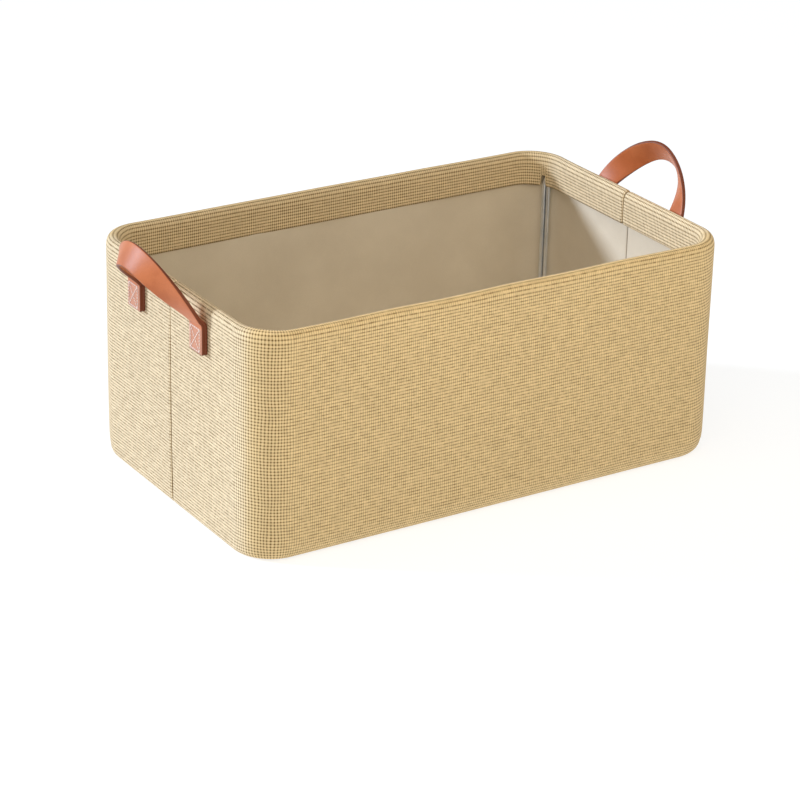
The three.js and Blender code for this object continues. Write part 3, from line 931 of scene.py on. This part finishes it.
def box_stitch(end, place, sx):
    """A box and a cross of thread on the outer face of a foot."""
    node = f"{end}_handle_stitch_{place}"
    lo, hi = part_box(node)
    face = sx * (HALF_L + GAP + FOOT_T + 0.0002)
    y0, y1, z0, z1 = lo.y + 0.0004, hi.y - 0.0004, lo.z + 0.0004, hi.z + 0.0016
    a, b, c, d = (face, y0, z0), (face, y1, z0), (face, y1, z1), (face, y0, z1)
    verts, faces = [], []
    for run in ((a, b, c, d, a), (a, c), (d, b)):
        thread_run(run, verts, faces, Vector((sx, 0, 0)))
    obj = outward(new_object(f"{end}_stitch_{place}", verts, faces))
    return dress(obj, THREAD, "bin", "strap_thread", node)


for end, sx in ENDS:
    make_strap(end, sx, LEAN[end])
    for place in ("front", "back"):
        box_stitch(end, place, sx)


# ---------------------------------------------------------------------------
# CAD pieces that stay as they are, with their materials
# ---------------------------------------------------------------------------
KEPT = {"stiffener_board": BOARD, "steel_rod": STEEL, "coated_liner": LINER}
for part in frame["record"]["subparts"]:
    node = frame["nodes"][part["node"]]
    if not node.hide_render and part["material_slot"] in KEPT:
        node.data.materials.clear()
        node.data.materials.append(KEPT[part["material_slot"]])


# ---------------------------------------------------------------------------
# Floor, light and camera
# ---------------------------------------------------------------------------
STUDIO_HALF, STUDIO_Z = 30, -0.0002


def add_floor():
    corners = [(x * STUDIO_HALF, y * STUDIO_HALF, STUDIO_Z) for x, y in ((-1, -1), (1, -1), (1, 1), (-1, 1))]
    obj = new_object("studio_floor", corners, [(0, 1, 2, 3)])
    t = Tree("pale_floor")
    t.set(Base_Color=(0.40, 0.40, 0.40, 1), Roughness=0.9, Specular_IOR_Level=0.1,
          Emission_Color=(0.96, 0.98, 1, 1), Emission_Strength=0.75)
    obj.data.materials.append(t.material)


def add_light(name, kind, energy, colour, direction, size=None, distance=2.5, angle=None):
    """A light seen from the bin in the given direction. Its panel is out of sight."""
    data = bpy.data.lights.new(name, kind)
    data.energy = energy
    data.color = colour
    if size:
        data.shape = "RECTANGLE"
        data.size, data.size_y = size
    if angle is not None:
        data.angle = math.radians(angle)
    obj = bpy.data.objects.new(name, data)
    to_light = Vector(direction).normalized()
    obj.location = Vector((0, 0, 0.1)) + to_light * distance
    obj.rotation_mode = "QUATERNION"
    obj.rotation_quaternion = to_light.to_track_quat("Z", "Y")
    obj.visible_camera = False
    bpy.context.scene.collection.objects.link(obj)


add_floor()
world = bpy.data.worlds.new("studio")
bpy.context.scene.world = world
world.use_nodes = True
background = world.node_tree.nodes["Background"]
background.inputs["Color"].default_value = (1.0, 0.97, 0.92, 1)
background.inputs["Strength"].default_value = 0.34
add_light("key", "SUN", 3.25, (0.74, 0.84, 1.0), (-1.25, 1.0, 0.62), angle=9)
add_light("front", "AREA", 2.1, (1.0, 0.86, 0.62), (0.0, -0.52, 0.50), size=(1.2, 0.3), distance=0.70)
add_light("top", "AREA", 8, (1.0, 0.98, 0.95), (-0.2, -0.1, 1.0), size=(1.5, 1.5), distance=2.2)

AZ, EL, ROLL = math.radians(-32.67), math.radians(23.65), math.radians(1.40)
SENSOR, FOCAL = 36, 130.86       # mm
DIST = 2.551
TARGET = Vector((-0.0097, -0.0018, 0.0492))
back = Vector((math.sin(AZ) * math.cos(EL), -math.cos(AZ) * math.cos(EL), math.sin(EL)))
level = Vector((math.cos(AZ), math.sin(AZ), 0))
upright = back.cross(level)
right = level * math.cos(ROLL) + upright * math.sin(ROLL)
up = upright * math.cos(ROLL) - level * math.sin(ROLL)
spot = TARGET + back * DIST
camera_data = bpy.data.cameras.new("camera")
camera_data.sensor_width = SENSOR
camera_data.lens = FOCAL
camera_data.clip_start, camera_data.clip_end = 0.05, 50
camera = bpy.data.objects.new("camera", camera_data)
bpy.context.scene.collection.objects.link(camera)
camera.matrix_world = Matrix((
    (right.x, up.x, back.x, spot.x),
    (right.y, up.y, back.y, spot.y),
    (right.z, up.z, back.z, spot.z),
    (0, 0, 0, 1),
))
bpy.context.scene.camera = camera
bpy.context.scene.view_settings.view_transform = "Standard"
